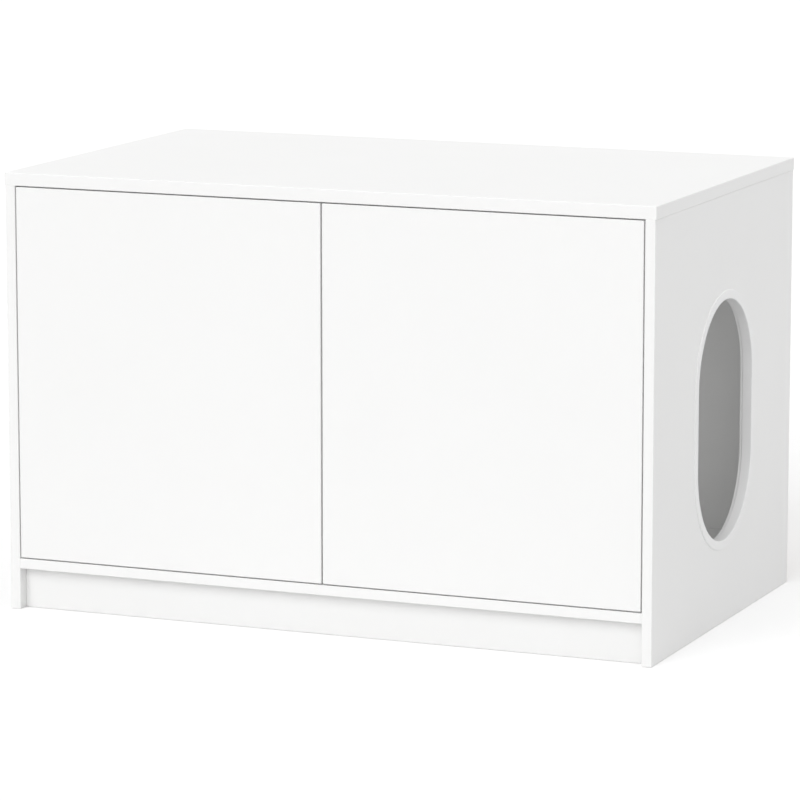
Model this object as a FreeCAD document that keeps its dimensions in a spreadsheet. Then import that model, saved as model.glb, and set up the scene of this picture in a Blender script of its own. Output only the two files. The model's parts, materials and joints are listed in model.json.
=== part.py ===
import FreeCAD, Part

import math
import os
import re

import Sketcher
from FreeCAD import Placement, Rotation, Vector

# Litter box cabinet: a white board cabinet with two flush doors on concealed hinges, push
# latches, and a round-ended entry opening in its right side.
#
# Frame: X to the right, Y to the back, Z up, in millimetres. The origin is on the floor under
# the middle of the cabinet, and the doors face -Y.

# Driving sizes. Each goes into the sheet under its own name, and what fits is worked out from it.
SIZES = {
    # carcass
    "cabinet_width": 800,  # over the outer faces of the side boards
    "cabinet_depth": 494,
    "cabinet_height": 518,
    "board": 12,  # side boards, floor board and plinth
    "top_board": 15,
    "top_overhang": 1,  # beyond the side boards, at each side
    "edge_break": 0.6,  # eased edges of the faced boards
    "plinth_height": 49,
    "plinth_recess": 15,
    "back_board": 3,
    "back_inset": 10,  # rear edges of the boards to the back panel
    "back_groove": 5,  # depth of the grooves that hold the back panel
    "back_play": 0.2,  # all round the back panel in its grooves
    # doors
    "door_board": 15,
    "door_gap": 1.5,
    "centre_gap": 2,
    # entry opening and its ring
    "opening_width": 192,
    "opening_height": 282,
    "opening_sill": 99,  # floor to the lowest point of the opening
    "ring_wall": 2,
    "ring_flange": 9,  # from the sleeve outwards
    "ring_proud": 1.4,  # flange thickness outside the board
    "ring_sleeve": 10.5,  # how far the sleeve reaches into the board
    "ring_play": 0.4,
    "ring_round": 1,
    "ring_step": 0.8,  # bore of the inner ring beyond the sleeve's bore
    "ring_inner_flange": 1.8,
    "ring_end_gap": 0.3,  # between the sleeve and the inner ring's spigot
    # covered cam fittings that hold the boards
    "cam_cover": 14,
    "cam_cover_thickness": 0.9,
    "cam_setback": 24,  # board's edge to the middle of the fitting
    "cam_spread": 170,  # from the middle of the depth
    # concealed hinges
    "hinge_inset": 80,  # end of the door to the middle of the hinge
    "plate_setback": 52,  # front of the door to the line of the plate's screws
    "cup_diameter": 35,
    "cup_depth": 11.5,
    "cup_edge": 3,  # edge of the door to the rim of the cup
    "cup_wall": 0.9,
    "cup_play": 0.1,
    "cup_wing_reach": 26,  # middle of the cup to the end of each screw wing
    "cup_wing_width": 12,
    "cup_wing_shift": 9.5,  # the wings' line beyond the middle of the cup
    "cup_wing": 1.2,
    "lug_reach": 2.3,  # lugs round the pins in the cup
    "hinge_pin": 2.5,
    "pin_play": 0.05,
    # pins of the linkage at rest, from the rim of the cup and the door's rear face
    "outer_arm_in": 8.17,
    "outer_arm_y": 11.61,
    "outer_cup_in": 5.31,
    "outer_cup_y": -6.59,
    "inner_arm_in": 6.05,  # from the far side of the rim
    "inner_arm_y": -3.87,
    "inner_cup_in": 10.24,
    "inner_cup_y": -4.94,
    "inner_eye_in": 10.92,
    "inner_eye_y": -5.52,
    "inner_eye_play": 1.2,
    "inner_eye_wall": 0.95,
    # heights in the linkage, from its middle plane
    "inner_link_half": 3.5,
    "inner_lug_low": 3.9,
    "inner_lug_high": 5.2,
    "leg_low": 5.6,
    "leg_high": 7,
    "cheek_low": 7.4,
    "cheek_high": 8.8,
    "outer_lug_high": 9.4,
    "sheet_metal": 1.4,
    "sheet_gap": 0.2,
    # mounting plate
    "plate": 2,
    "plate_wing": 26,
    "plate_width": 12,
    "rail_height": 8.6,  # side board to the top of the rail
    "rail_half": 6.4,
    "rail_front": 38,
    "rail_back": 70,
    # push latches under the top
    "latch_offset": 62,  # middle of the cabinet to the middle of the latch
    "latch_gap": 4.5,  # rear face of the door to the housing
    "latch_length": 56,
    "latch_width": 14,
    "latch_height": 14,
    "latch_drop": 7.5,  # top board to the plunger's axis
    "latch_wing": 15,
    "latch_wing_length": 16,
    "latch_wing_plate": 2.5,
    "plunger": 7,
    "plunger_length": 42,
    "plunger_bore": 46,
    "plunger_play": 0.1,
    "plunger_tip": 9,
    "plunger_tip_length": 2.2,
    "strike": 14,
    "strike_thickness": 1.5,
    "strike_play": 0.3,
}

# Formulas that several pieces share, in the same names.
SHARED = {
    "side_face": "cabinet_width / 2 - board",
    "front": "-cabinet_depth / 2",
    "back": "cabinet_depth / 2",
    "top_underside": "cabinet_height - top_board",
    "floor_top": "plinth_height + board",
    "groove_back": "back - back_inset",
    "groove_front": "groove_back - back_board - 2 * back_play",
    "door_width": "side_face - door_gap - centre_gap / 2",
    "door_height": "top_underside - floor_top - 2 * door_gap",
    "door_bottom": "floor_top + door_gap",
    "sleeve_width": "opening_width + 2 * ring_wall",
    "sleeve_height": "opening_height + 2 * ring_wall",
    "flange_width": "sleeve_width + 2 * ring_flange",
    "flange_height": "sleeve_height + 2 * ring_flange",
    "opening_middle": "opening_sill + opening_height / 2",
    "door_middle": "door_bottom + door_height / 2",
    "hinge_reach": "door_height / 2 - hinge_inset",
    "cup_rim": "door_gap + cup_edge",
    "cup_x": "cup_rim + cup_diameter / 2",
    "cup_floor": "door_board - cup_depth + cup_play + cup_wall",
    "outer_root_x": "cup_rim + outer_arm_in",
    "outer_root_y": "door_board + outer_arm_y",
    "outer_tip_x": "cup_rim + outer_cup_in",
    "outer_tip_y": "door_board + outer_cup_y",
    "inner_root_x": "cup_rim + cup_diameter - inner_arm_in",
    "inner_root_y": "door_board + inner_arm_y",
    "inner_tip_x": "cup_rim + inner_cup_in",
    "inner_tip_y": "door_board + inner_cup_y",
    "eye_x": "cup_rim + inner_eye_in",
    "eye_y": "door_board + inner_eye_y",
    "arm_face": "rail_height + sheet_gap",
    "plunger_rest": "front + door_board + strike_thickness + strike_play",
    "strike_height": "top_underside - latch_drop",
}

DOC = FreeCAD.newDocument("litter_box_cabinet")
NODES = []


# ---- the sheet and its formulas


def make_sheet():
    """Put each driving size into the sheet under its own name."""
    sheet = DOC.addObject("Spreadsheet::Sheet", "Sizes")
    for row, (name, size) in enumerate(SIZES.items(), 1):
        sheet.set(f"A{row}", name)
        sheet.set(f"B{row}", str(size))
        sheet.setAlias(f"B{row}", name)
    DOC.recompute()
    return sheet


def formula(text):
    """Spell a formula of size names so that the document can read it."""

    def spell(match):
        word = match.group(0)
        if word in SHARED:
            return "(" + formula(SHARED[word]) + ")"
        return "Sizes." + word if word in SIZES else word

    return re.sub(r"[a-z_]+", spell, str(text))


SHEET = make_sheet()


def number(text):
    """Work out a formula."""
    return float(SHEET.evalExpression(formula(text)))


def bind(thing, prop, text):
    thing.setExpression(prop, formula(text))


# ---- sketches


def origin_item(body, role):
    return next(item for item in body.Origin.OriginFeatures if item.Role == role)


def sketch(body, plane, offset="0", x="0", y="0"):
    """Start a sketch on one of the body's own planes, moved along its normal and in it."""
    drawing = body.newObject("Sketcher::SketchObject", body.Name + "_sketch")
    drawing.AttachmentSupport = [(origin_item(body, plane), "")]
    drawing.MapMode = "FlatFace"
    for axis, text in (("x", x), ("y", y), ("z", offset)):
        bind(drawing, "AttachmentOffset.Base." + axis, text)
    return drawing


def tie(drawing, constraint, text):
    """Add a dimension that follows a formula."""
    index = drawing.addConstraint(constraint)
    bind(drawing, f"Constraints[{index}]", text)


def pin_down(drawing, item, point, x, y):
    """Fix a point of the sketch at x and y from its origin."""
    tie(drawing, Sketcher.Constraint("DistanceX", -1, 1, item, point, number(x)), x)
    tie(drawing, Sketcher.Constraint("DistanceY", -1, 1, item, point, number(y)), y)


def spot(x, y):
    return Vector(number(x), number(y), 0)


def outline(drawing, points):
    """Draw a closed outline of straight lines through points."""
    spots = [spot(x, y) for x, y in points]
    first = drawing.GeometryCount
    for start, end in zip(spots, spots[1:] + spots[:1]):
        drawing.addGeometry(Part.LineSegment(start, end))
    for index, (x, y) in enumerate(points):
        before = first + (index - 1) % len(points)
        drawing.addConstraint(Sketcher.Constraint("Coincident", before, 2, first + index, 1))
        pin_down(drawing, first + index, 1, x, y)


def rectangle(drawing, x_low, x_high, y_low, y_high):
    outline(drawing, [(x_low, y_low), (x_high, y_low), (x_high, y_high), (x_low, y_high)])


def circle(drawing, x, y, diameter):
    ring = Part.Circle(spot(x, y), Vector(0, 0, 1), number(diameter) / 2)
    item = drawing.addGeometry(ring)
    pin_down(drawing, item, 3, x, y)
    tie(drawing, Sketcher.Constraint("Diameter", item, number(diameter)), diameter)


def stadium(drawing, width, height):
    """Draw an upright outline with half-round ends round the sketch's origin."""
    radius = number(width) / 2
    reach = number(height) / 2 - radius
    ends = []
    for sign, first_angle in ((1, 0), (-1, math.pi)):
        ring = Part.Circle(Vector(0, sign * reach, 0), Vector(0, 0, 1), radius)
        ends.append(drawing.addGeometry(Part.ArcOfCircle(ring, first_angle, first_angle + math.pi)))
    top, bottom = ends
    corners = [Vector(x * radius, y * reach, 0) for x, y in ((-1, 1), (-1, -1), (1, -1), (1, 1))]
    left = drawing.addGeometry(Part.LineSegment(corners[0], corners[1]))
    right = drawing.addGeometry(Part.LineSegment(corners[2], corners[3]))
    chain = [top, left, bottom, right]
    for item, following in zip(chain, chain[1:] + chain[:1]):
        drawing.addConstraint(Sketcher.Constraint("Tangent", item, 2, following, 1))
    drawing.addConstraint(Sketcher.Constraint("Equal", top, bottom))
    pin_down(drawing, top, 3, "0", f"({height}) / 2 - ({width}) / 2")
    pin_down(drawing, bottom, 3, "0", f"({width}) / 2 - ({height}) / 2")
    tie(drawing, Sketcher.Constraint("Radius", top, radius), f"({width}) / 2")


# ---- features


def new_body(label, x="0", y="0", z="0", turned=False):
    """Start a sub-part at its place. A turned one is upside down and faces the other way."""
    body = DOC.addObject("PartDesign::Body", label)
    body.Label = label
    body.AllowCompound = True
    if turned:
        body.Placement = Placement(Vector(), Rotation(Vector(0, 1, 0), 180))
    for axis, text in (("x", x), ("y", y), ("z", z)):
        bind(body, "Placement.Base." + axis, text)
    NODES.append(body)
    return body


def pad(body, drawing, length, against=False):
    """Raise a sketch along its plane's normal, or against it."""
    feature = body.newObject("PartDesign::Pad", body.Name + "_pad")
    feature.Profile = drawing
    bind(feature, "Length", length)
    feature.Reversed = against
    DOC.recompute()
    return feature


def cut(body, drawing, depth, against=False):
    """Cut a sketch into the body along its plane's normal, or against it."""
    before = body.Shape.Volume
    feature = body.newObject("PartDesign::Pocket", body.Name + "_pocket")
    feature.Profile = drawing
    bind(feature, "Length", depth)
    feature.Reversed = not against
    DOC.recompute()
    if body.Shape.Volume >= before:
        raise RuntimeError(feature.Name + " cuts nothing")
    return feature


def ease(body, size, chosen, kind="Chamfer"):
    """Break or round the chosen edges."""
    base = body.Tip
    names = [f"Edge{i}" for i, edge in enumerate(base.Shape.Edges, 1) if chosen(edge)]
    feature = body.newObject("PartDesign::" + kind, body.Name + "_eased")
    feature.Base = (base, names)
    bind(feature, "Size" if kind == "Chamfer" else "Radius", size)
    DOC.recompute()
    return feature


def every(edge):
    return True


def layer(body, low, high, draw):
    """Raise what draw puts into a level sketch, from low to high."""
    drawing = sketch(body, "XY_Plane", low)
    draw(drawing)
    return pad(body, drawing, f"({high}) - ({low})")


def both_layers(body, low, high, draw):
    """Raise the same shape above and below the middle plane."""
    layer(body, low, high, draw)
    layer(body, f"-({high})", f"-({low})", draw)


def bore(body, low, high, x, y, diameter):
    """Bore upwards through a body."""
    drawing = sketch(body, "XY_Plane", low)
    circle(drawing, x, y, diameter)
    cut(body, drawing, f"({high}) - ({low})")


def bores(body, plane, offset, places, diameter, depth, against=False):
    """Bore alike holes from one plane."""
    drawing = sketch(body, plane, offset)
    for x, y in places:
        circle(drawing, x, y, diameter)
    cut(body, drawing, depth, against)


def discs(body, plane, offset, places, diameter, thickness, against=False):
    """Raise alike discs on one plane."""
    drawing = sketch(body, plane, offset)
    for x, y in places:
        circle(drawing, x, y, diameter)
    pad(body, drawing, thickness, against)


def spread(reach):
    return [f"-({reach})", reach]


def crossed(first, second):
    return [(x, y) for x in first for y in second]


# ---- boards


def board_block(body, plane, x_reach, y_low, y_high, thickness, against=False):
    """Make a faced board with eased edges, as wide to both sides of its middle."""
    drawing = sketch(body, plane)
    rectangle(drawing, f"-({x_reach})", x_reach, y_low, y_high)
    pad(body, drawing, thickness, against)
    ease(body, "edge_break", every)


def top_panel():
    body = new_body("top_panel", z="top_underside")
    board_block(body, "XY_Plane", "cabinet_width / 2 + top_overhang", "front", "back", "top_board")
    groove(body, "0", "side_face + back_groove")


def floor_panel():
    body = new_body("bottom_panel", z="plinth_height")
    board_block(body, "XY_Plane", "side_face", "front", "back", "board")
    groove(body, "board", "side_face", against=True)


def groove(body, offset, reach, against=False):
    """Cut the groove for the back panel into a level board."""
    drawing = sketch(body, "XY_Plane", offset)
    rectangle(drawing, f"-({reach})", reach, "groove_front", "groove_back")
    cut(body, drawing, "back_groove", against)


def plinth_board():
    body = new_body("plinth_board", y="front + plinth_recess + board")
    board_block(body, "XZ_Plane", "side_face", "0", "plinth_height", "board")


def side_panel(label, side):
    """Make a side board from its inner face, which lies in the body's own YZ plane."""
    towards_left = side < 0
    body = new_body(label, x=f"{side} * side_face")
    board_block(body, "YZ_Plane", "back", "0", "top_underside", "board", towards_left)
    drawing = sketch(body, "YZ_Plane")
    rectangle(drawing, "groove_front", "groove_back", "0", "top_underside")
    cut(body, drawing, "back_groove", towards_left)
    return body


def cut_entry_opening(body):
    drawing = sketch(body, "YZ_Plane", y="opening_middle")
    stadium(drawing, "sleeve_width + 2 * ring_play", "sleeve_height + 2 * ring_play")
    cut(body, drawing, "board")


def back_panel():
    """Make the thin back panel, which slides down in its grooves."""
    body = new_body("back_panel", y="groove_back - back_play")
    drawing = sketch(body, "XZ_Plane")
    lap = "(back_groove - back_play)"
    reach = f"side_face + {lap}"
    rectangle(drawing, f"-({reach})", reach, f"floor_top - {lap}", f"top_underside + {lap}")
    pad(body, drawing, "back_board")


def door(label, side):
    """Make a door from its hinge edge, with its cup bores in the rear face."""
    hinge_edge = f"{side} * (side_face - door_gap)"
    body = new_body(label, hinge_edge, "front + door_board", "door_middle", side > 0)
    drawing = sketch(body, "XZ_Plane")
    rectangle(drawing, "0", "door_width", "-door_height / 2", "door_height / 2")
    pad(body, drawing, "door_board")
    ease(body, "edge_break", every)
    places = crossed(["cup_x - door_gap"], spread("hinge_reach"))
    bores(body, "XZ_Plane", "0", places, "cup_diameter", "cup_depth")


def cam_covers():
    """Make the thin covers over the fittings that hold the top to the side boards."""
    body = new_body("cam_covers")
    places = crossed(spread("cam_spread"), ["top_underside - cam_setback"])
    for plane in ("-side_face", "side_face - cam_cover_thickness"):
        discs(body, "YZ_Plane", plane, places, "cam_cover", "cam_cover_thickness")


# ---- ring round the entry opening


def ring_layer(body, low, high, outer, inner):
    """Raise an upright round-ended ring between two sizes, each a (width, height)."""
    drawing = sketch(body, "YZ_Plane", low)
    stadium(drawing, *outer)
    stadium(drawing, *inner)
    pad(body, drawing, f"({high}) - ({low})")


def entry_ring():
    """Make the moulded outer ring: a thin rounded flange on a sleeve."""
    body = new_body("entry_ring", x="cabinet_width / 2", z="opening_middle")
    bore_size = ("opening_width", "opening_height")
    ring_layer(body, "0", "ring_proud", ("flange_width", "flange_height"), bore_size)
    rim = number("ring_proud")
    wide = number("opening_width") / 2 + 0.01

    def outer_rim(edge):
        box = edge.BoundBox
        return box.XMin > rim - 0.01 and max(box.YMax, -box.YMin) > wide

    ease(body, "ring_round", outer_rim, "Fillet")
    ring_layer(body, "-ring_sleeve", "0", ("sleeve_width", "sleeve_height"), bore_size)


def entry_ring_inner():
    """Make the ring on the inner face, whose spigot centres it in the board."""
    body = new_body("entry_ring_inner", x="side_face", z="opening_middle")
    bore_size = ("opening_width + 2 * ring_step", "opening_height + 2 * ring_step")
    ring_layer(body, "-ring_inner_flange", "0", ("flange_width", "flange_height"), bore_size)
    spigot = "board - ring_sleeve - ring_end_gap"
    ring_layer(body, "0", spigot, ("sleeve_width", "sleeve_height"), bore_size)


# ---- concealed hinges, drawn from the side board's face, the door's front and their own middle


def hinge_body(label, side, level):
    height = f"door_middle + {level} * hinge_reach"
    return new_body(label, f"{side} * side_face", "front", height, side > 0)


def hinge_plate(label, side, level):
    """Make the mounting plate: a round-ended cross plate with a raised rail."""
    body = hinge_body(label, side, level)
    drawing = sketch(body, "YZ_Plane", x="plate_setback")
    stadium(drawing, "plate_width", "2 * plate_wing")
    pad(body, drawing, "plate")
    drawing = sketch(body, "YZ_Plane")
    rectangle(drawing, "rail_front", "rail_back", "-rail_half", "rail_half")
    pad(body, drawing, "rail_height")


def around(item, corners):
    """Give corners, each an (x, y) pair of numbers, from the middle of a pin."""
    return [(f"{item}_x + ({x})", f"{item}_y + ({y})") for x, y in corners]


ARM_OUTER_EDGE = (
    around("inner_root", [(2.1, 4.5), (-2.2, 11.8)])
    + around("outer_root", [(9.8, 3.6), (1.2, 8.2)])
    + [("arm_face + sheet_metal", "rail_front + 2"), ("arm_face + sheet_metal", "rail_back")]
)


def hinge_arm(label, side, level):
    """Make the cranked arm: two cheeks, the web over the rail, and its two riveted pins."""
    body = hinge_body(label, side, level)

    def cheek(drawing):
        outline(drawing, (
            [("plate + sheet_gap", "rail_back"), ("plate + sheet_gap", "rail_front")]
            + [("plate + 1.2", "rail_front - 4")]
            + around("outer_root", [(-2.6, -1.5), (1.4, -2.8), (11.8, -5.4)])
            + around("inner_root", [(-3.6, 5), (-2.1, 0), (-1.4, -1.6), (1.4, -1.6), (2.1, 0)])
            + ARM_OUTER_EDGE
        ))

    def web(drawing):
        outline(drawing, (
            [("arm_face", "rail_back"), ("arm_face", "rail_front + 1.6")]
            + around("outer_root", [(0.3, 7.1), (9.1, 2.4)])
            + around("inner_root", [(-3.1, 10.7)])
            + ARM_OUTER_EDGE[1:]
        ))

    def pins(drawing):
        circle(drawing, "outer_root_x", "outer_root_y", "hinge_pin")
        circle(drawing, "inner_root_x", "inner_root_y", "hinge_pin")

    both_layers(body, "cheek_low", "cheek_high", cheek)
    layer(body, "-cheek_high", "cheek_high", web)
    layer(body, "-cheek_low", "cheek_low", pins)


def outer_link(label, side, level):
    """Make the outer link: two gooseneck legs joined by a web, clear of the cup's rim."""
    body = hinge_body(label, side, level)

    def leg(drawing):
        outline(drawing, (
            around("outer_tip", [(0.6, 2.1), (-1.2, 1.8), (-2.2, 0), (-1.2, -1.8), (0.6, -2.1)])
            + around("outer_tip", [(3.2, -2.5), (9.4, -2.7), (13, 1.8)])
            + around("outer_root", [(10.7, -9.1), (6.7, -2.4)])
            + around("outer_root", [(1.6, 2.1), (-0.4, 2.6), (-2.3, 1.4), (-2.7, -0.6), (-1.6, -2.2)])
            + around("outer_root", [(3.5, -6), (6.6, -10.4)])
            + around("outer_tip", [(9.6, 3.6), (8.2, 0.3), (3.4, 0.6)])
        ))

    def web(drawing):
        outline(drawing, around("outer_root", [(9.8, -10.7), (5.4, -3.4), (4.2, -4.2), (8.6, -11.5)]))

    both_layers(body, "leg_low", "leg_high", leg)
    layer(body, "-leg_high", "leg_high", web)
    for pin in ("outer_root", "outer_tip"):
        bore(body, "-leg_high", "leg_high", pin + "_x", pin + "_y", "hinge_pin + 2 * pin_play")


def inner_link(label, side, level):
    """Make the inner link: one bar with a close eye at the arm and a wide eye at the cup."""
    body = hinge_body(label, side, level)
    link_width = "2 * inner_link_half"
    wide_eye = "hinge_pin + 2 * inner_eye_play"
    eye_rim = "hinge_pin + 2 * (inner_eye_play + inner_eye_wall)"

    def bar(drawing):
        outline(drawing, (
            around("inner_root", [(0, 2.6), (2, 1.9), (2.8, 0), (2, -1.9), (0, -2.6)][::-1])
            + around("eye", [(0, 2.7), (0, -2.7)])
        ))

    layer(body, "-inner_link_half", "inner_link_half", bar)
    discs(body, "XY_Plane", "-inner_link_half", [("eye_x", "eye_y")], eye_rim, link_width)
    bore(body, "-inner_link_half", "inner_link_half", "eye_x", "eye_y", wide_eye)
    close_eye = "hinge_pin + 2 * pin_play"
    bore(body, "-inner_link_half", "inner_link_half", "inner_root_x", "inner_root_y", close_eye)


def hinge_cup(label, side, level):
    """Make the cup with its screw wings, and the riveted pins in their lugs."""
    body = hinge_body(label, side, level)
    outside = "cup_diameter - 2 * cup_play"
    discs(body, "XZ_Plane", "-door_board", [("cup_x", "0")], outside, "cup_depth - cup_play")
    drawing = sketch(body, "XZ_Plane", "-door_board - cup_wing", x="cup_x + cup_wing_shift")
    stadium(drawing, "cup_wing_width", "2 * cup_wing_reach")
    pad(body, drawing, "cup_wing")
    hollow = outside + " - 2 * cup_wall"
    depth = "door_board + cup_wing - cup_floor"
    bores(body, "XZ_Plane", "-door_board - cup_wing", [("cup_x", "0")], hollow, depth)

    def lug(drawing, pin):
        left, right = (f"{pin}_x - lug_reach", f"{pin}_x + lug_reach")
        rectangle(drawing, left, right, "cup_floor - cup_wall / 2", f"{pin}_y + lug_reach")

    both_layers(body, "inner_lug_low", "inner_lug_high", lambda drawing: lug(drawing, "inner_tip"))
    both_layers(body, "cheek_low", "outer_lug_high", lambda drawing: lug(drawing, "outer_tip"))
    layer(body, "-inner_lug_low", "inner_lug_low", lambda drawing: circle(
        drawing, "inner_tip_x", "inner_tip_y", "hinge_pin"
    ))
    both_layers(body, "leg_low - sheet_gap", "cheek_low", lambda drawing: circle(
        drawing, "outer_tip_x", "outer_tip_y", "hinge_pin"
    ))


# ---- push latches


def latch_housing(label, side):
    """Make a latch housing: a bored block with two screw wings under the top."""
    body = new_body(label, f"{side} * latch_offset", "front + door_board + latch_gap", "top_underside")
    drawing = sketch(body, "XY_Plane", "-latch_height")
    rectangle(drawing, "-latch_width / 2", "latch_width / 2", "0", "latch_length")
    pad(body, drawing, "latch_height")
    ease(body, "edge_break", every)
    drawing = sketch(body, "XY_Plane", "-latch_wing_plate")
    middle = "latch_length / 2"
    half = "latch_wing_length / 2"
    rectangle(drawing, "-latch_wing", "latch_wing", f"{middle} - {half}", f"{middle} + {half}")
    pad(body, drawing, "latch_wing_plate")
    places = [("0", "-latch_drop")]
    bores(body, "XZ_Plane", "0", places, "plunger + 2 * plunger_play", "plunger_bore", True)


def plunger(label, side):
    """Make a plunger with its soft tip, at rest against the strike."""
    body = new_body(label, f"{side} * latch_offset", "plunger_rest", "strike_height")
    centre = [("0", "0")]
    discs(body, "XZ_Plane", "0", centre, "plunger_tip", "plunger_tip_length", True)
    stem = "plunger_length - plunger_tip_length"
    discs(body, "XZ_Plane", "-plunger_tip_length", centre, "plunger", stem, True)


def strike(label, side):
    body = new_body(label, f"{side} * latch_offset", "front + door_board", "strike_height")
    discs(body, "XZ_Plane", "0", [("0", "0")], "strike", "strike_thickness", True)


# ---- the whole cabinet


def build_carcass():
    top_panel()
    floor_panel()
    plinth_board()
    side_panel("left_side_panel", -1)
    cut_entry_opening(side_panel("right_side_panel", 1))
    back_panel()
    cam_covers()
    entry_ring()
    entry_ring_inner()


def build_door_side(name, side):
    """Make one door with its latch and hinges."""
    door(name + "_door", side)
    strike(name + "_strike_plate", side)
    latch_housing(name + "_latch_housing", side)
    plunger(name + "_plunger", side)
    for height, level in (("lower", -1), ("upper", 1)):
        place = f"{name}_{height}_"
        hinge_plate(place + "hinge_plate", side, level)
        hinge_arm(place + "hinge_arm", side, level)
        hinge_cup(place + "hinge_cup", side, level)
        outer_link(place + "outer_link", side, level)
        inner_link(place + "inner_link", side, level)


def check_and_write():
    """Stop on any faulty object, then write one file for each sub-part."""
    DOC.recompute()
    for thing in DOC.Objects:
        if "Invalid" in thing.State or "Error" in thing.State:
            raise RuntimeError(f"{thing.Name} is faulty: {thing.State}")
    os.makedirs("parts", exist_ok=True)
    for body in NODES:
        if body.Shape.isNull() or not body.Shape.isValid() or not body.Shape.Solids:
            raise RuntimeError(f"{body.Label} has no sound solid")
        body.Shape.exportStep(f"parts/{body.Label}.step")


build_carcass()
build_door_side("left", -1)
build_door_side("right", 1)
check_and_write()
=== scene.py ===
import json
import math

import bmesh
import bpy
from mathutils import Matrix, Vector


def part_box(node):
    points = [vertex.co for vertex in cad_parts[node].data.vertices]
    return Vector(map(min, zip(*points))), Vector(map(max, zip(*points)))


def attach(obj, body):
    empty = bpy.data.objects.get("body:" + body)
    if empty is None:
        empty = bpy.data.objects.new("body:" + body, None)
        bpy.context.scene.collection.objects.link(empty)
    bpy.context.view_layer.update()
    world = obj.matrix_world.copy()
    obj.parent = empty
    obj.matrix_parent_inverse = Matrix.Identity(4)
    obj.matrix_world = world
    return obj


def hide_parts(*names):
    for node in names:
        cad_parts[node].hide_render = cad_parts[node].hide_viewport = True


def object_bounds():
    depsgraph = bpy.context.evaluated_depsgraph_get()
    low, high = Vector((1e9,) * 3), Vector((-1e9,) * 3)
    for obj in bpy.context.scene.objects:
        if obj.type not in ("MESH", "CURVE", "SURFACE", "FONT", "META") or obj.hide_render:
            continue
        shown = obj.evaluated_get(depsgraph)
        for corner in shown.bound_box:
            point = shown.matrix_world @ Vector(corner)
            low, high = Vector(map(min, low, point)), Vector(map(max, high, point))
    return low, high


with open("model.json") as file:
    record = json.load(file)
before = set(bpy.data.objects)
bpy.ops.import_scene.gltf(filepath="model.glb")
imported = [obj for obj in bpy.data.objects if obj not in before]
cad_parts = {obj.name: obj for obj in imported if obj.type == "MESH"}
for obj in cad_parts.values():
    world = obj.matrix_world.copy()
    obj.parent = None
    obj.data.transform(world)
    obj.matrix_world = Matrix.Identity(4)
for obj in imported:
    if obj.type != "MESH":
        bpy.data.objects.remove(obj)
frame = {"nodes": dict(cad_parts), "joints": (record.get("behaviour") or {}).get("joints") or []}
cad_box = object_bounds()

bl_info = {
    "name": "Litter box cabinet",
    "version": (1, 0, 0),
    "blender": (4, 5, 0),
    "location": "3D View > Sidebar > Cabinet",
    "description": "Builds the finishes, fittings and studio of a white litter box cabinet",
    "category": "Object",
}

MM = 0.001
NODES = frame["nodes"]
JOINTS = {joint["name"]: joint for joint in frame["joints"]}
SIDES = (("left", -1), ("right", 1))
HINGES = [(name, side, height) for name, side in SIDES for height in ("lower", "upper")]

SHARP_ANGLE = math.radians(35)
RAW_EDGE_DEPTH = 0.6 * MM  # how far in from the rear and the foot an edge still counts as sawn

# entry rings
RING_PROUD = 1.4 * MM
RING_FLANGE = 9 * MM
RING_WALL = 2 * MM
INNER_FLANGE = 1.8 * MM
SPIGOT_WALL = 1.2 * MM

# seats of the fittings, measured on the sub-part that carries them
CUP_SCREWS_IN = 26.9 * MM  # from the edge nearest the side board
CUP_SCREWS_UP = 20.5 * MM  # from the middle, up and down
PLATE_SCREWS_BACK = 14 * MM
PLATE_SCREWS_UP = 16 * MM
PLATE_WING = 2 * MM
ARM_BACK = 10.2 * MM  # height of the arm's back over the side board
ARM_SCREWS_BACK = (10 * MM, 24 * MM)
LATCH_SCREWS_ACROSS = 11 * MM
LATCH_FLANGE = 2.5 * MM
RING_SCREWS_IN = 4.2 * MM

# heights of the heads
WOOD_HEAD = 1.7 * MM
STRIKE_HEAD = 0.9 * MM
PLATE_HEAD = 1.9 * MM
ARM_HEAD = 1.8 * MM
RING_HEAD = 1.2 * MM
RIVET_HEAD = 0.5 * MM
STRIKE_HEAD_SHARE = 0.86  # of the width of a wood screw's head
RECESS_TURN = 0.83  # radians from one screw's recess to the next one's

# studio
FLOOR_HALF = 12.0
FLOOR_DROP = 0.2 * MM
FLOOR_TONE = 0.62
FLOOR_GLOW = 0.42
INSIDE_LIGHT_SIZE = (0.45, 0.3)
INSIDE_LIGHT_PLACE = (0.0, -0.13, 0.28)
INSIDE_LIGHT_FROM = (-0.35, -1.0, -0.1)


# ---- settings


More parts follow.
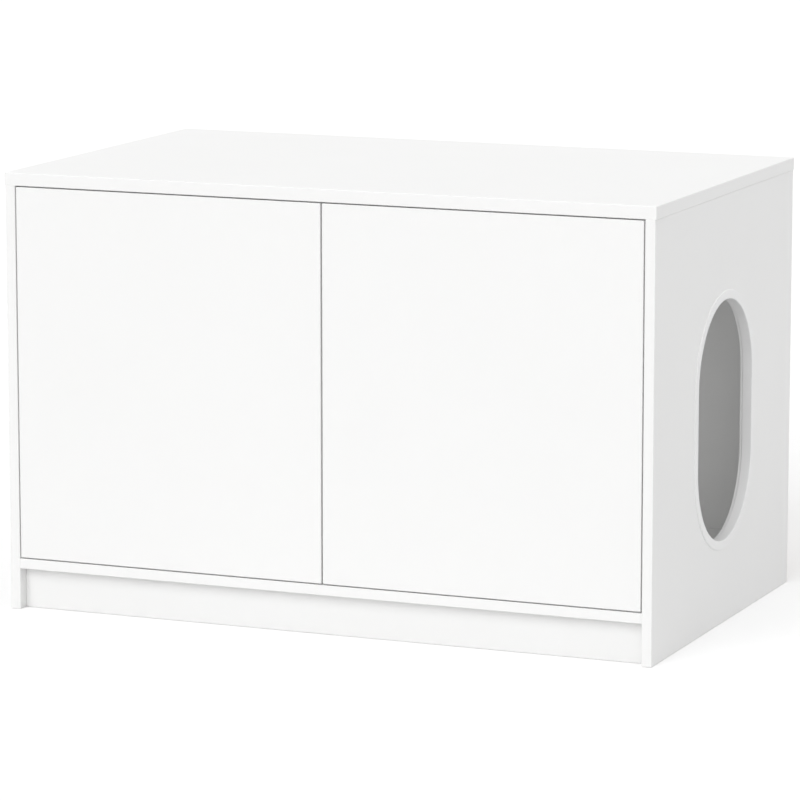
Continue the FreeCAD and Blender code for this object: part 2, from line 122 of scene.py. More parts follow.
class CabinetFinishSettings(bpy.types.PropertyGroup):
    """Colours and surface qualities of the cabinet's finishes."""

    board_colour: bpy.props.FloatVectorProperty(
        name="Board white", description="Colour of the faced boards",
        subtype="COLOR", size=3, min=0, max=1, default=(0.9, 0.9, 0.895),
    )
    moulded_colour: bpy.props.FloatVectorProperty(
        name="Moulded white", description="Colour of the ring round the entry",
        subtype="COLOR", size=3, min=0, max=1, default=(0.9, 0.9, 0.9),
    )
    hardboard_colour: bpy.props.FloatVectorProperty(
        name="Raw hardboard", description="Colour of the rear of the back panel",
        subtype="COLOR", size=3, min=0, max=1, default=(0.3, 0.17, 0.085),
    )
    chipboard_colour: bpy.props.FloatVectorProperty(
        name="Raw chipboard", description="Colour of the edges that are not faced",
        subtype="COLOR", size=3, min=0, max=1, default=(0.5, 0.34, 0.19),
    )
    nickel_colour: bpy.props.FloatVectorProperty(
        name="Nickel plate", description="Colour of the plated hinges and screws",
        subtype="COLOR", size=3, min=0, max=1, default=(0.66, 0.64, 0.6),
    )
    tip_colour: bpy.props.FloatVectorProperty(
        name="Plunger grey", description="Colour of the latch plungers",
        subtype="COLOR", size=3, min=0, max=1, default=(0.33, 0.335, 0.34),
    )
    board_roughness: bpy.props.FloatProperty(
        name="Board roughness", description="Mean roughness of the faced boards",
        subtype="FACTOR", min=0, max=1, default=0.42,
    )


class CabinetFittingSettings(bpy.types.PropertyGroup):
    """Sizes of the small fittings that stand on the sub-parts."""

    wood_screw_head: bpy.props.FloatProperty(
        name="Wood screw head", description="Diameter of the heads in cups, latches and strikes",
        subtype="DISTANCE", unit="LENGTH", default=6.4 * MM,
    )
    plate_screw_head: bpy.props.FloatProperty(
        name="Plate screw head", description="Diameter of the heads in the mounting plates",
        subtype="DISTANCE", unit="LENGTH", default=8 * MM,
    )
    arm_screw_head: bpy.props.FloatProperty(
        name="Arm screw head", description="Diameter of the adjusting screws' heads",
        subtype="DISTANCE", unit="LENGTH", default=7 * MM,
    )
    ring_screw_head: bpy.props.FloatProperty(
        name="Ring screw head", description="Diameter of the heads in the inner ring",
        subtype="DISTANCE", unit="LENGTH", default=5.4 * MM,
    )
    rivet_head: bpy.props.FloatProperty(
        name="Rivet head", description="Diameter of the riveted ends of the hinge pins",
        subtype="DISTANCE", unit="LENGTH", default=3.8 * MM,
    )
    ring_segments: bpy.props.IntProperty(
        name="Ring segments", description="Steps round each half-round end of the ring",
        min=12, max=128, default=48,
    )


class CabinetStageSettings(bpy.types.PropertyGroup):
    """Light and camera of the studio."""

    ambient: bpy.props.FloatProperty(
        name="Ambient light", description="Level of the even light from all round",
        min=0, max=2, default=0.5,
    )
    front_left: bpy.props.FloatProperty(
        name="Front left light", description="Strength of the soft light from the front left",
        min=0, max=10, default=1.4,
    )
    front_right: bpy.props.FloatProperty(
        name="Front right light", description="Strength of the soft light from the front right",
        min=0, max=10, default=0.4,
    )
    side: bpy.props.FloatProperty(
        name="Side light", description="Strength of the soft light from the right",
        min=0, max=10, default=0.49,
    )
    overhead: bpy.props.FloatProperty(
        name="Overhead light", description="Strength of the soft light from above",
        min=0, max=10, default=0.58,
    )
    inside: bpy.props.FloatProperty(
        name="Inside light", description="Power of the faint light inside the cabinet",
        min=0, max=10, default=0.29,
    )
    softness: bpy.props.FloatProperty(
        name="Softness", description="Angle over which each light spreads",
        subtype="ANGLE", unit="ROTATION", default=math.radians(45),
    )
    camera_place: bpy.props.FloatVectorProperty(
        name="Camera place", description="Where the camera stands",
        subtype="XYZ", unit="LENGTH", size=3, default=(2.03086, -4.89397, 1.15683),
    )
    camera_turn: bpy.props.FloatProperty(
        name="Camera turn", description="Angle of the view to the left of straight on",
        subtype="ANGLE", unit="ROTATION", default=0.394385,
    )
    camera_tilt: bpy.props.FloatProperty(
        name="Camera tilt", description="Angle of the view below level",
        subtype="ANGLE", unit="ROTATION", default=0.171926,
    )
    camera_lens: bpy.props.FloatProperty(
        name="Camera lens", description="Focal length in millimetres",
        min=20, max=500, default=203.643,
    )


# ---- shader node groups


class Wiring:
    """Places and joins the nodes of one tree."""

    def __init__(self, tree):
        self.tree = tree
        self.column = 0

    def add(self, kind, **values):
        """Add a node. Values set properties, or inputs by name with spaces as underscores."""
        node = self.tree.nodes.new(kind)
        self.column += 1
        node.location = (self.column * 190 - 1600, (self.column % 3) * -160)
        for name, value in values.items():
            if hasattr(node, name):
                setattr(node, name, value)
            else:
                self.feed(node.inputs[name.replace("_", " ")], value)
        return node

    def feed(self, socket, value):
        """Link a socket, or set its value; colours are cut to the length the socket takes."""
        if isinstance(value, bpy.types.NodeSocket):
            self.tree.links.new(value, socket)
        elif socket.type == "VECTOR":
            socket.default_value = value[:3]
        else:
            socket.default_value = value

    def maths(self, operation, first, second=0.0):
        """Work out one value from one or two."""
        node = self.add("ShaderNodeMath", operation=operation)
        self.feed(node.inputs[0], first)
        self.feed(node.inputs[1], second)
        return node.outputs[0]

    def noise(self, place, scale, detail, roughness=0.5):
        """Give a cloudy value from 0 to 1."""
        node = self.add("ShaderNodeTexNoise", Vector=place, Scale=scale, Detail=detail, Roughness=roughness)
        return node.outputs["Fac"]

    def spread(self, value, low, high):
        """Map 0..1 to low..high."""
        node = self.add("ShaderNodeMapRange", Value=value, To_Min=low, To_Max=high)
        return node.outputs["Result"]

    def window(self, value, low, high):
        """Map low..high to 0..1, clamped."""
        node = self.add("ShaderNodeMapRange", Value=value, From_Min=low, From_Max=high)
        return node.outputs["Result"]

    def blend(self, factor, first, second):
        """Mix two colours."""
        node = self.add("ShaderNodeMix", data_type="RGBA")
        self.feed(node.inputs["Factor"], factor)
        self.feed(node.inputs[6], first)
        self.feed(node.inputs[7], second)
        return node.outputs[2]

    def dim(self, colour, factor):
        """Multiply a colour by a value."""
        node = self.add("ShaderNodeVectorMath", operation="SCALE")
        self.feed(node.inputs[0], colour)
        self.feed(node.inputs["Scale"], factor)
        return node.outputs[0]

    def parts(self, vector):
        """Give the X, Y and Z of a vector."""
        node = self.add("ShaderNodeSeparateXYZ")
        self.feed(node.inputs[0], vector)
        return node.outputs


def new_group(name, inputs, outputs):
    """Start a node group. Inputs and outputs are (name, kind, default) rows."""
    tree = bpy.data.node_groups.new(name, "ShaderNodeTree")
    for rows, way in ((inputs, "INPUT"), (outputs, "OUTPUT")):
        for socket_name, kind, default in rows:
            socket = tree.interface.new_socket(socket_name, in_out=way, socket_type="NodeSocket" + kind)
            if default is not None:
                socket.default_value = default
    wiring = Wiring(tree)
    start = wiring.add("NodeGroupInput").outputs
    end = wiring.add("NodeGroupOutput").inputs
    return tree, wiring, start, end


def pressed_face_group():
    """Pressed melamine or moulded skin: a fine orange peel under a slow, faint cloudiness."""
    tree, w, start, end = new_group(
        "Pressed face",
        [
            ("Place", "Vector", None), ("Grain", "Float", 900.0),
            ("Roughness", "Float", 0.4), ("Cloud", "Float", 0.02),
        ],
        [("Tone", "Float", None), ("Roughness", "Float", None), ("Height", "Float", None)],
    )
    peel = w.noise(start["Place"], start["Grain"], 2.0, 0.55)
    pores = w.noise(start["Place"], w.maths("MULTIPLY", start["Grain"], 3.1), 1.0)
    cloud = w.noise(start["Place"], 3.2, 3.0, 0.6)
    rubbed = w.noise(start["Place"], 11.0, 4.0, 0.65)
    w.feed(end["Tone"], w.maths("SUBTRACT", 1.0, w.maths("MULTIPLY", cloud, start["Cloud"])))
    rough = w.maths("MULTIPLY", start["Roughness"], w.spread(rubbed, 0.86, 1.14))
    w.feed(end["Roughness"], w.maths("ADD", rough, w.spread(pores, -0.02, 0.02)))
    w.feed(end["Height"], w.maths("ADD", peel, w.maths("MULTIPLY", pores, 0.25)))
    return tree


def raw_edge_group():
    """Sawn chipboard: flakes of several tones between darker gaps."""
    tree, w, start, end = new_group(
        "Sawn chipboard",
        [("Place", "Vector", None), ("Colour", "Color", None)],
        [("Colour", "Color", None), ("Height", "Float", None)],
    )
    flakes = w.add("ShaderNodeTexVoronoi", Vector=start["Place"], Scale=420.0, Randomness=1.0)
    tone = w.parts(flakes.outputs["Color"])["X"]
    gaps = w.window(flakes.outputs["Distance"], 0.75, 0.35)
    fuzz = w.noise(start["Place"], 1900.0, 4.0, 0.7)
    shade = w.maths("MULTIPLY", w.spread(tone, 0.72, 1.25), w.spread(gaps, 0.62, 1.0))
    w.feed(end["Colour"], w.dim(start["Colour"], w.maths("MULTIPLY", shade, w.spread(fuzz, 0.82, 1.14))))
    w.feed(end["Height"], w.maths("ADD", gaps, fuzz))
    return tree


def hardboard_group():
    """Rear of a hardboard sheet: matted fibres over the print of a wire screen."""
    tree, w, start, end = new_group(
        "Matted hardboard",
        [("Place", "Vector", None), ("Colour", "Color", None)],
        [("Colour", "Color", None), ("Height", "Float", None)],
    )
    fibres = w.noise(start["Place"], 260.0, 8.0, 0.72)
    patches = w.noise(start["Place"], 9.0, 3.0, 0.6)
    axes = w.parts(start["Place"])
    waves = [w.maths("SINE", w.maths("MULTIPLY", axes[axis], 2400.0)) for axis in ("X", "Z")]
    screen = w.maths("MULTIPLY", waves[0], waves[1])
    shade = w.maths("MULTIPLY", w.spread(fibres, 0.62, 1.32), w.spread(patches, 0.9, 1.1))
    w.feed(end["Colour"], w.dim(start["Colour"], w.maths("ADD", shade, w.maths("MULTIPLY", screen, 0.05))))
    w.feed(end["Height"], w.maths("ADD", fibres, w.maths("MULTIPLY", screen, 0.3)))
    return tree


def plated_group():
    """Barrel-plated stampings: soft blotches, fine tumbling scratches and dull spots."""
    tree, w, start, end = new_group(
        "Plated stamping",
        [("Place", "Vector", None), ("Roughness", "Float", 0.28)],
        [("Tone", "Float", None), ("Roughness", "Float", None), ("Height", "Float", None)],
    )
    stretch = w.add(
        "ShaderNodeMapping", Vector=start["Place"], Scale=(1.0, 9.0, 1.0), Rotation=(0.5, 0.3, 0.7)
    )
    scratches = w.noise(stretch.outputs[0], 700.0, 5.0, 0.7)
    blotches = w.noise(start["Place"], 160.0, 3.0, 0.55)
    tone = w.maths("MULTIPLY", w.spread(blotches, 0.88, 1.06), w.spread(scratches, 0.95, 1.04))
    w.feed(end["Tone"], tone)
    w.feed(end["Roughness"], w.maths("MULTIPLY", start["Roughness"], w.spread(blotches, 0.75, 1.3)))
    w.feed(end["Height"], w.maths("ADD", scratches, blotches))
    return tree


def facing_group():
    """Masks of surfaces that face one way beyond a level along one axis."""
    tree, w, start, end = new_group(
        "Facing beyond",
        [
            ("Place", "Vector", None), ("Normal", "Vector", None),
            ("Axis", "Vector", None), ("Level", "Float", 0.0),
        ],
        [("Mask", "Float", None)],
    )

    def along(vector):
        node = w.add("ShaderNodeVectorMath", operation="DOT_PRODUCT")
        w.feed(node.inputs[0], vector)
        w.feed(node.inputs[1], start["Axis"])
        return node.outputs["Value"]

    facing = w.maths("GREATER_THAN", along(start["Normal"]), 0.8)
    beyond = w.maths("GREATER_THAN", along(start["Place"]), start["Level"])
    w.feed(end["Mask"], w.maths("MULTIPLY", facing, beyond))
    return tree


GROUPS = {}


def build_groups():
    """Make the node groups that the materials share."""
    for name, make in (
        ("face", pressed_face_group), ("chip", raw_edge_group), ("hardboard", hardboard_group),
        ("plate", plated_group), ("facing", facing_group),
    ):
        GROUPS[name] = make()


def grouped(w, name, **values):
    """Place a shader node group and set its inputs."""
    node = w.add("ShaderNodeGroup")
    node.node_tree = GROUPS[name]
    for socket, value in values.items():
        w.feed(node.inputs[socket], value)
    return node.outputs


# ---- materials


def solid(colour):
    """Give a colour with full alpha."""
    return (*colour, 1.0)


def start_material(name, view_colour, metallic=0.0):
    """Start a material with its own shader. Returns it with its wiring, shader and coordinates."""
    material = bpy.data.materials.new(name)
    material.use_nodes = True
    material.node_tree.nodes.clear()
    material.diffuse_color = solid(view_colour)
    w = Wiring(material.node_tree)
    output = w.add("ShaderNodeOutputMaterial")
    shader = w.add("ShaderNodeBsdfPrincipled")
    shader.inputs["Metallic"].default_value = metallic
    w.tree.links.new(shader.outputs[0], output.inputs["Surface"])
    return material, w, shader, w.add("ShaderNodeTexCoord").outputs


def raise_surface(w, shader, height, strength, distance):
    """Show a height on the surface as fine relief."""
    bump = w.add("ShaderNodeBump", Strength=strength, Distance=distance, Height=height)
    w.feed(shader.inputs["Normal"], bump.outputs["Normal"])


def board_material(name, finishes, raw_faces):
    """Faced board. raw_faces are the (axis, level) of the edges that are left sawn."""
    material, w, shader, place = start_material(name, finishes.board_colour)
    face = grouped(
        w, "face", Place=place["Object"], Grain=1100.0, Roughness=finishes.board_roughness, Cloud=0.025
    )
    colour = w.dim(solid(finishes.board_colour), face["Tone"])
    height, rough = face["Height"], face["Roughness"]
    if raw_faces:
        mask = 0.0
        for axis, level in raw_faces:
            facing = grouped(
                w, "facing", Place=place["Object"], Normal=place["Normal"], Axis=axis, Level=level
            )
            mask = w.maths("MAXIMUM", mask, facing["Mask"])
        chip = grouped(w, "chip", Place=place["Object"], Colour=solid(finishes.chipboard_colour))
        colour = w.blend(mask, colour, chip["Colour"])
        flakes = w.maths("MULTIPLY", mask, w.maths("MULTIPLY", chip["Height"], 6.0))
        height = w.maths("ADD", height, flakes)
        rough = w.maths("ADD", rough, w.maths("MULTIPLY", mask, 0.45))
    w.feed(shader.inputs["Base Color"], colour)
    w.feed(shader.inputs["Roughness"], rough)
    raise_surface(w, shader, height, 0.12, 0.00012)
    return material


def back_panel_material(finishes):
    """Thin hardboard, lacquered white towards the inside and bare at the rear."""
    material, w, shader, place = start_material("Back hardboard", finishes.board_colour)
    face = grouped(w, "face", Place=place["Object"], Grain=700.0, Roughness=0.5, Cloud=0.04)
    bare = grouped(w, "hardboard", Place=place["Object"], Colour=solid(finishes.hardboard_colour))
    facing = grouped(w, "facing", Place=place["Object"], Normal=place["Normal"], Axis=(0, 1, 0), Level=0.0)
    rear = facing["Mask"]
    inside = w.dim(solid([part * 0.97 for part in finishes.board_colour]), face["Tone"])
    w.feed(shader.inputs["Base Color"], w.blend(rear, inside, bare["Colour"]))
    w.feed(shader.inputs["Roughness"], w.maths("ADD", face["Roughness"], w.maths("MULTIPLY", rear, 0.3)))
    fibres = w.maths("MULTIPLY", rear, w.maths("MULTIPLY", bare["Height"], 5.0))
    raise_surface(w, shader, w.maths("ADD", face["Height"], fibres), 0.2, 0.00015)
    return material


def moulded_material(name, colour, roughness, grain, cloud=0.02):
    """Moulded plastic with a fine skin."""
    material, w, shader, place = start_material(name, colour)
    face = grouped(w, "face", Place=place["Object"], Grain=grain, Roughness=roughness, Cloud=cloud)
    w.feed(shader.inputs["Base Color"], w.dim(solid(colour), face["Tone"]))
    w.feed(shader.inputs["Roughness"], face["Roughness"])
    raise_surface(w, shader, face["Height"], 0.15, 0.0001)
    return material


def plated_material(name, colour, roughness):
    """Plated or polished steel."""
    material, w, shader, place = start_material(name, colour, metallic=1.0)
    plate = grouped(w, "plate", Place=place["Object"], Roughness=roughness)
    w.feed(shader.inputs["Base Color"], w.dim(solid(colour), plate["Tone"]))
    w.feed(shader.inputs["Roughness"], plate["Roughness"])
    raise_surface(w, shader, plate["Height"], 0.1, 0.00008)
    return material


MATERIALS = {}


def build_materials(finishes):
    """Make every finish. The boards' rear and foot edges are left sawn."""
    rear_edge = ((0, 1, 0), cad_box[1].y - RAW_EDGE_DEPTH)
    foot_edge = ((0, 0, -1), -RAW_EDGE_DEPTH)
    MATERIALS.update({
        "faced": board_material("Faced board", finishes, []),
        "carcass": board_material("Faced board with sawn rear and foot", finishes, [rear_edge, foot_edge]),
        "back": back_panel_material(finishes),
        "ring": moulded_material("Moulded ring", finishes.moulded_colour, 0.34, 1500.0),
        "cap": moulded_material("Moulded cover", finishes.moulded_colour, 0.4, 1300.0),
        "housing": moulded_material("Latch housing", (0.8, 0.8, 0.79), 0.45, 1200.0),
        "tip": moulded_material("Latch plunger", finishes.tip_colour, 0.55, 1600.0, cloud=0.08),
        "nickel": plated_material("Nickel plate", finishes.nickel_colour, 0.3),
        "steel": plated_material("Screw steel", [part * 0.92 for part in finishes.nickel_colour], 0.24),
    })


def node_material(node):
    """Name the finish of a sub-part."""
    if "hinge" in node or "link" in node or "strike" in node:
        return "nickel"
    plain = {
        "back_panel": "back", "cam_covers": "cap", "entry_ring": "ring", "entry_ring_inner": "ring",
        "left_latch_housing": "housing", "right_latch_housing": "housing",
        "left_plunger": "tip", "right_plunger": "tip",
    }
    raw = ("left_side_panel", "right_side_panel", "bottom_panel", "plinth_board")
    return plain.get(node, "carcass" if node in raw else "faced")


# ---- meshes


def new_piece(name, mesh, body, material):
    """Link a mesh as a piece that moves with a body."""
    piece = bpy.data.objects.new(name, mesh)
    bpy.context.scene.collection.objects.link(piece)
    mesh.materials.append(MATERIALS[material])
    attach(piece, body)
    return piece


def finish_mesh(name, bm):
    """Turn a bmesh into a closed, smooth-shaded mesh that keeps its hard edges."""
    bmesh.ops.recalc_face_normals(bm, faces=bm.faces)
    mesh = bpy.data.meshes.new(name)
    bm.to_mesh(mesh)
    bm.free()
    mesh.shade_smooth()
    mesh.set_sharp_from_angle(angle=SHARP_ANGLE)
    return mesh


def ring_of(bm, radius, height, steps, first_angle, place):
    """Add a circle of vertices."""
    corners = []
    for step in range(steps):
        angle = first_angle + 2 * math.pi * step / steps
        corner = Vector((radius * math.cos(angle), radius * math.sin(angle), height))
        corners.append(bm.verts.new(place @ corner))
    return corners


def join_rings(bm, first, second):
    """Close the band between two rings of as many vertices."""
    count = len(first)
    for i in range(count):
        j = (i + 1) % count
        bm.faces.new((first[i], first[j], second[j], second[i]))


def cross_outline(arm, width):
    """Give the twelve corners of a cross, anticlockwise from its first arm."""
    corners = []
    for quarter in range(4):
        turn = Matrix.Rotation(quarter * math.pi / 2, 2)
        corners += [turn @ Vector(corner) for corner in ((arm, -width), (arm, width), (width, width))]
    return corners


def add_cross_head(bm, place, radius, height, sunk=False):
    """Add a screw head with a cross recess, standing on the plane of place.

    levels are rows of (share of the radius, share of the height), from the foot up.
    """
    steps, first = 24, -math.pi / 12
    levels = [(1.0, -0.1), (1.0, 0.35), (0.94, 0.66), (0.8, 0.88), (0.62, 1.0)]
    if sunk:
        levels = [(0.98, -0.3), (1.0, 0.0), (0.97, 0.12), (0.62, 0.2)]
    rings = [ring_of(bm, radius * r, height * h, steps, first, place) for r, h in levels]
    for lower, upper in zip(rings, rings[1:]):
        join_rings(bm, lower, upper)
    bm.faces.new(list(reversed(rings[0])))
    top = height * levels[-1][1]
    arm, width, depth = radius * 0.5, radius * 0.134, radius * 0.42
    mouth = [bm.verts.new(place @ Vector((x, y, top))) for x, y in cross_outline(arm, width)]
    foot = cross_outline(arm * 0.55, width * 0.75)
    floor = [bm.verts.new(place @ Vector((x, y, top - depth))) for x, y in foot]
    rim = rings[-1]
    for i in range(len(mouth)):
        j = (i + 1) % len(mouth)
        bm.faces.new((rim[2 * i], rim[2 * i + 1], rim[(2 * i + 2) % steps], mouth[j], mouth[i]))
    join_rings(bm, mouth, floor)
    bm.faces.new(floor)


def add_dome(bm, place, radius, height, steps=20):
    """Add a low riveted dome."""
    levels = [(1.0, -0.2), (1.0, 0.3), (0.86, 0.72), (0.55, 0.95), (0.25, 1.0)]
    rings = [ring_of(bm, radius * r, height * h, steps, 0.0, place) for r, h in levels]
    for lower, upper in zip(rings, rings[1:]):
        join_rings(bm, lower, upper)
    bm.faces.new(list(reversed(rings[0])))
    bm.faces.new(rings[-1])


def standing(place, direction, turn=0.0):
    """Give the matrix that stands local Z along a direction at a place."""
    return (
        Matrix.Translation(Vector(place))
        @ Vector(direction).to_track_quat("Z", "Y").to_matrix().to_4x4()
        @ Matrix.Rotation(turn, 4, "Z")
    )


def stations(half_straight, steps):
    """Give the (outward direction, centre height) of each step round an upright round-ended path."""
    path = []
    for end, sign in ((0.0, 1), (math.pi, -1)):
        for step in range(steps + 1):
            angle = end + math.pi * step / steps
            path.append((math.cos(angle), math.sin(angle), sign * half_straight))
    return path


def swept_ring(name, profile, rise, half_straight, steps):
    """Sweep a closed profile of (x, radius) round the entry opening."""
    bm = bmesh.new()
    loops = []
    for out_y, out_z, middle in stations(half_straight, steps):
        loops.append([bm.verts.new((x, out_y * r, rise + middle + out_z * r)) for x, r in profile])
    for here, there in zip(loops, loops[1:] + loops[:1]):
        join_rings(bm, here, there)
    return finish_mesh(name, bm)


def rounded(corner, radius, start, steps=6):
    """Give an arc of profile points round a centre, a quarter turn from a start angle."""
    points = []
    for step in range(steps + 1):
        angle = start + math.pi / 2 * step / steps
        points.append((corner[0] + radius * math.cos(angle), corner[1] + radius * math.sin(angle)))
    return points


# ---- operators


class CABINET_OT_boards(bpy.types.Operator):
    """Give every sub-part its finish"""

    bl_idname = "cabinet.boards"
    bl_label = "Finish the sub-parts"

    def execute(self, context):
        build_groups()
        build_materials(context.scene.cabinet_finishes)
        for name, node in NODES.items():
            node.data.materials.clear()
            node.data.materials.append(MATERIALS[node_material(name)])
        return {"FINISHED"}


class CABINET_OT_entry_rings(bpy.types.Operator):
    """Make the two moulded rings that line the entry opening, with their rounded lips"""

    bl_idname = "cabinet.entry_rings"
    bl_label = "Make the entry rings"

    def execute(self, context):
        steps = context.scene.cabinet_fittings.ring_segments
        for node, profile in (("entry_ring", self.outer_profile), ("entry_ring_inner", self.inner_profile)):
            low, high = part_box(node)
            width, height = high.y - low.y, high.z - low.z
            outer = width / 2
            middle = (low.z + high.z) / 2
            outline = profile(low.x, high.x, outer)
            mesh = swept_ring(node + "_moulding", outline, middle, (height - width) / 2, steps)
            piece = new_piece(node + "_moulding", mesh, "cabinet", "ring")
            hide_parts(node)
        return {"FINISHED"}

    @staticmethod
    def outer_profile(low, high, outer):
        """Thin flange with a rounded rim and a rounded lip into the sleeve."""
        face = high - RING_PROUD
        sleeve = outer - RING_FLANGE
        inner = sleeve - RING_WALL
        rim, lip = 1.3 * MM, 1.2 * MM
        return (
            [(face, outer)]
            + rounded((high - rim, outer - rim), rim, 0.0)[::-1]
            + [(high, outer - 2 * rim), (high, inner + 2 * lip)]
            + rounded((high - lip, inner + lip), lip, -math.pi / 2)[::-1]
            + [(low + 0.5 * MM, inner), (low, inner + 0.5 * MM), (low, sleeve - 0.3 * MM)]
            + [(low + 0.3 * MM, sleeve), (face, sleeve)]
        )

    @staticmethod
    def inner_profile(low, high, outer):
        """Flat flange inside the cabinet with a short spigot into the board."""
        face = low + INNER_FLANGE
        spigot = outer - RING_FLANGE
        inner = spigot - SPIGOT_WALL
        rim = 1.1 * MM
        return (
            [(face, outer)]
            + rounded((low + rim, outer - rim), rim, math.pi / 2)
            + rounded((low + rim, inner + rim), rim, math.pi)
            + [(high, inner), (high, spigot), (face, spigot)]
        )


class CABINET_OT_screws(bpy.types.Operator):
    """Put the cross-head screws in the hinges, latches, strikes and inner ring"""

    bl_idname = "cabinet.screws"
    bl_label = "Make the screws"

    def execute(self, context):
        sizes = context.scene.cabinet_fittings
        self.turn = 0.0
        for name, side in SIDES:
            self.make_door_screws(name, side, sizes)
        self.make_cabinet_screws(sizes)
        self.make_ring_screws(sizes)
        return {"FINISHED"}

    def next_turn(self):
        """Turn each screw's recess differently from the last one's."""
        self.turn += RECESS_TURN
        return self.turn

    def make_door_screws(self, name, side, sizes):
        """Two screws in each cup's wings and one sunk in the strike plate."""
        bm = bmesh.new()
        radius = sizes.wood_screw_head / 2
        for height in ("lower", "upper"):
            low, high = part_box(f"{name}_{height}_hinge_cup")
            edge = low.x if side < 0 else high.x
            wing_line = edge - side * CUP_SCREWS_IN
            for up in (-1, 1):
                place = (wing_line, high.y, (low.z + high.z) / 2 + up * CUP_SCREWS_UP)
                add_cross_head(bm, standing(place, (0, 1, 0), self.next_turn()), radius, WOOD_HEAD)
        low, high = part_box(f"{name}_strike_plate")
        place = ((low.x + high.x) / 2, high.y, (low.z + high.z) / 2)
        seat = standing(place, (0, 1, 0), self.next_turn())
        add_cross_head(bm, seat, radius * STRIKE_HEAD_SHARE, STRIKE_HEAD, sunk=True)
        mesh = finish_mesh(name + "_door_screws", bm)
        new_piece(mesh.name, mesh, name + "_door", "steel")

    def make_cabinet_screws(self, sizes):
        """Two screws in each mounting plate, two in each arm and two in each latch."""
        bm = bmesh.new()
        for name, side, height in HINGES:
            low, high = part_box(f"{name}_{height}_hinge_plate")
            wall = low.x if side < 0 else high.x
            middle = (low.z + high.z) / 2
            inwards = (-side, 0, 0)
            for up in (-1, 1):
                place = (wall - side * PLATE_WING, low.y + PLATE_SCREWS_BACK, middle + up * PLATE_SCREWS_UP)
                seat = standing(place, inwards, self.next_turn())
                add_cross_head(bm, seat, sizes.plate_screw_head / 2, PLATE_HEAD)
            for back in ARM_SCREWS_BACK:
                place = (wall - side * ARM_BACK, low.y + back, middle)
                seat = standing(place, inwards, self.next_turn())
                add_cross_head(bm, seat, sizes.arm_screw_head / 2, ARM_HEAD)
        for name, _ in SIDES:
            low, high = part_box(f"{name}_latch_housing")
            for across in (-LATCH_SCREWS_ACROSS, LATCH_SCREWS_ACROSS):
                place = ((low.x + high.x) / 2 + across, (low.y + high.y) / 2, high.z - LATCH_FLANGE)
                seat = standing(place, (0, 0, -1), self.next_turn())
                add_cross_head(bm, seat, sizes.wood_screw_head / 2, WOOD_HEAD)
        mesh = finish_mesh("cabinet_fitting_screws", bm)
        new_piece(mesh.name, mesh, "cabinet", "steel")

    def make_ring_screws(self, sizes):
        """Six screws in the inner ring's flange."""
        bm = bmesh.new()
        low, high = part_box("entry_ring_inner")
        line = (high.y - low.y) / 2 - RING_SCREWS_IN
        middle = (low.z + high.z) / 2
        straight = (high.z - low.z) / 2 - (high.y - low.y) / 2
        spots = [(y * line, z * straight) for y in (-1, 1) for z in (-1, 1)]
        spots += [(0.0, -straight - line), (0.0, straight + line)]
        for y, z in spots:
            seat = standing((low.x, y, middle + z), (-1, 0, 0), self.next_turn())
            add_cross_head(bm, seat, sizes.ring_screw_head / 2, RING_HEAD)
        mesh = finish_mesh("entry_ring_screws", bm)
        new_piece(mesh.name, mesh, "cabinet", "steel")


class CABINET_OT_rivets(bpy.types.Operator):
    """Put the riveted heads on the hinge pins"""

    bl_idname = "cabinet.rivets"
    bl_label = "Make the rivets"

    def execute(self, context):
        radius = context.scene.cabinet_fittings.rivet_head / 2
        arms = bmesh.new()
        for name, side, height in HINGES:
            low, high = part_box(f"{name}_{height}_hinge_arm")
            for joint in (f"{name}_outer_link_swing", f"{name}_inner_link_swing"):
                x, y, _ = JOINTS[joint]["pos_m"]
                for z, up in ((low.z, -1), (high.z, 1)):
                    add_dome(arms, standing((x, y, z), (0, 0, up)), radius, RIVET_HEAD)
        mesh = finish_mesh("arm_rivets", arms)
        new_piece(mesh.name, mesh, "cabinet", "nickel")
        return {"FINISHED"}


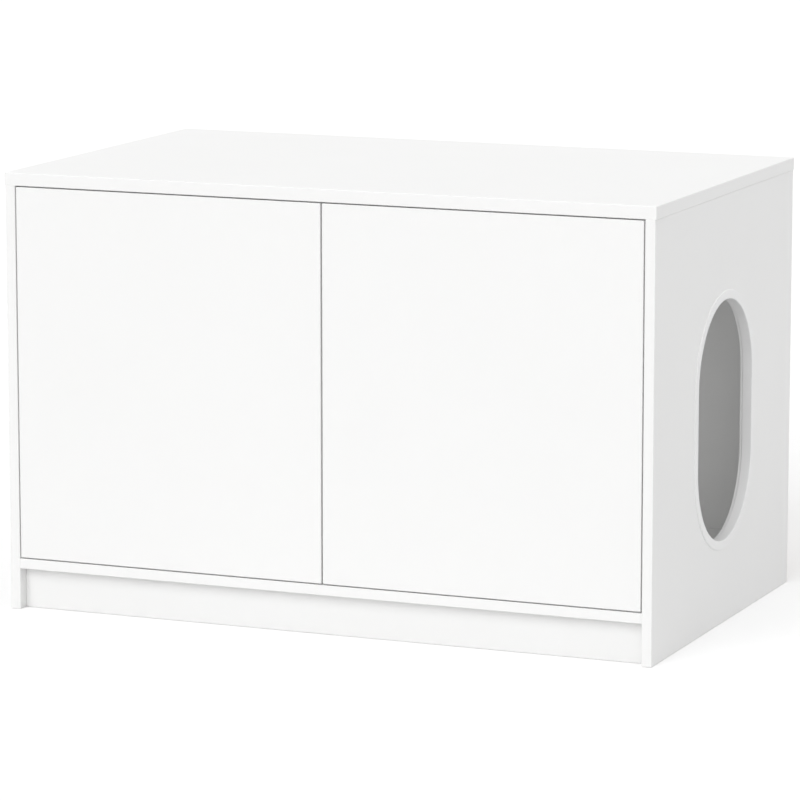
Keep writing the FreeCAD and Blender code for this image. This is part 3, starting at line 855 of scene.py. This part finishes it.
class CABINET_OT_stage(bpy.types.Operator):
    """Set up the pale floor, the soft light and the camera"""

    bl_idname = "cabinet.stage"
    bl_label = "Set up the studio"

    def execute(self, context):
        stage = context.scene.cabinet_stage
        self.make_world(context.scene, stage)
        self.make_floor()
        for name, strength, direction in (
            ("Front left light", stage.front_left, (-0.2, -0.83, 0.52)),
            ("Front right light", stage.front_right, (0.55, -0.8, 0.25)),
            ("Side light", stage.side, (0.92, 0.1, 0.38)),
            ("Overhead light", stage.overhead, (0.0, -0.1, 1.0)),
        ):
            self.make_sun(name, strength, direction, stage.softness)
        self.make_inside_light(stage.inside)
        self.make_camera(context.scene, stage)
        context.scene.view_settings.view_transform = "Standard"
        return {"FINISHED"}

    @staticmethod
    def seen_rays(w):
        """Give 1 for the rays that show the background itself or its reflection."""
        rays = w.add("ShaderNodeLightPath").outputs
        seen = w.maths("MAXIMUM", rays["Is Camera Ray"], rays["Is Glossy Ray"])
        return w.maths("MAXIMUM", seen, rays["Is Transmission Ray"])

    def make_world(self, scene, stage):
        """Light the scene evenly from all round, before a white background."""
        world = bpy.data.worlds.new("Studio")
        scene.world = world
        world.use_nodes = True
        world.node_tree.nodes.clear()
        w = Wiring(world.node_tree)
        output = w.add("ShaderNodeOutputWorld")
        light = w.add("ShaderNodeBackground")
        w.feed(light.inputs["Color"], w.blend(self.seen_rays(w), solid([stage.ambient] * 3), (1, 1, 1, 1)))
        w.feed(output.inputs["Surface"], light.outputs[0])

    def make_floor(self):
        """Lay a pale floor that takes the cabinet's shadow."""
        bm = bmesh.new()
        bmesh.ops.create_grid(bm, x_segments=1, y_segments=1, size=FLOOR_HALF)
        mesh = bpy.data.meshes.new("floor")
        bm.to_mesh(mesh)
        bm.free()
        floor = bpy.data.objects.new("floor", mesh)
        floor.location.z = -FLOOR_DROP
        bpy.context.scene.collection.objects.link(floor)
        material, w, shader, place = start_material("Studio floor", (0.9, 0.9, 0.9))
        face = grouped(w, "face", Place=place["Object"], Grain=60.0, Roughness=0.9, Cloud=0.0)
        w.feed(shader.inputs["Base Color"], w.dim([FLOOR_TONE] * 3, face["Tone"]))
        w.feed(shader.inputs["Roughness"], face["Roughness"])
        w.feed(shader.inputs["Emission Color"], w.dim([FLOOR_GLOW] * 3, self.seen_rays(w)))
        shader.inputs["Emission Strength"].default_value = 1.0
        shader.inputs["Specular IOR Level"].default_value = 0.0
        mesh.materials.append(material)

    def make_sun(self, name, strength, direction, softness):
        """Put up a broad soft light that leaves no mirrored patch."""
        lamp = bpy.data.lights.new(name, "SUN")
        lamp.energy = strength
        lamp.angle = softness
        light = self.aim(name, lamp, direction)
        light.visible_glossy = False

    def make_inside_light(self, power):
        """Put a faint sheet of light behind the doors, facing the back panel and the entry."""
        lamp = bpy.data.lights.new("Inside light", "AREA")
        lamp.shape = "RECTANGLE"
        lamp.size, lamp.size_y = INSIDE_LIGHT_SIZE
        lamp.energy = power
        light = self.aim("Inside light", lamp, INSIDE_LIGHT_FROM)
        light.location = INSIDE_LIGHT_PLACE
        light.visible_camera = False
        light.visible_glossy = False

    @staticmethod
    def aim(name, lamp, direction):
        """Put up a lamp that shines from a direction."""
        light = bpy.data.objects.new(name, lamp)
        light.rotation_mode = "QUATERNION"
        light.rotation_quaternion = Vector(direction).to_track_quat("Z", "Y")
        bpy.context.scene.collection.objects.link(light)
        return light

    def make_camera(self, scene, stage):
        """Stand the camera where the whole cabinet fills the picture."""
        lens = bpy.data.cameras.new("Camera")
        lens.lens = stage.camera_lens
        lens.sensor_width = 36.0
        lens.clip_start, lens.clip_end = 0.1, 60.0
        camera = bpy.data.objects.new("Camera", lens)
        camera.location = stage.camera_place
        camera.rotation_euler = (math.pi / 2 - stage.camera_tilt, 0.0, stage.camera_turn)
        scene.collection.objects.link(camera)
        scene.camera = camera


class CABINET_PT_sidebar(bpy.types.Panel):
    """Lists the cabinet's settings and operators."""

    bl_label = "Litter box cabinet"
    bl_idname = "CABINET_PT_sidebar"
    bl_space_type = "VIEW_3D"
    bl_region_type = "UI"
    bl_category = "Cabinet"

    def draw(self, context):
        layout = self.layout
        for settings in ("cabinet_finishes", "cabinet_fittings", "cabinet_stage"):
            box = layout.box()
            group = getattr(context.scene, settings)
            for name in group.__annotations__:
                box.prop(group, name)
        for operator in OPERATORS:
            layout.operator(operator.bl_idname)


SETTINGS = (
    ("cabinet_finishes", CabinetFinishSettings),
    ("cabinet_fittings", CabinetFittingSettings),
    ("cabinet_stage", CabinetStageSettings),
)
OPERATORS = (
    CABINET_OT_boards, CABINET_OT_entry_rings, CABINET_OT_screws, CABINET_OT_rivets, CABINET_OT_stage,
)


def register():
    """Add the settings, operators and panel."""
    for name, group in SETTINGS:
        bpy.utils.register_class(group)
        setattr(bpy.types.Scene, name, bpy.props.PointerProperty(type=group))
    for operator in OPERATORS:
        bpy.utils.register_class(operator)
    bpy.utils.register_class(CABINET_PT_sidebar)


def unregister():
    """Take the settings, operators and panel away again."""
    bpy.utils.unregister_class(CABINET_PT_sidebar)
    for operator in reversed(OPERATORS):
        bpy.utils.unregister_class(operator)
    for name, group in reversed(SETTINGS):
        delattr(bpy.types.Scene, name)
        bpy.utils.unregister_class(group)


def main():
    """Build the cabinet's looks and its studio."""
    register()
    bpy.ops.cabinet.boards()
    bpy.ops.cabinet.entry_rings()
    bpy.ops.cabinet.screws()
    bpy.ops.cabinet.rivets()
    bpy.ops.cabinet.stage()


if __name__ == "__main__":
    main()
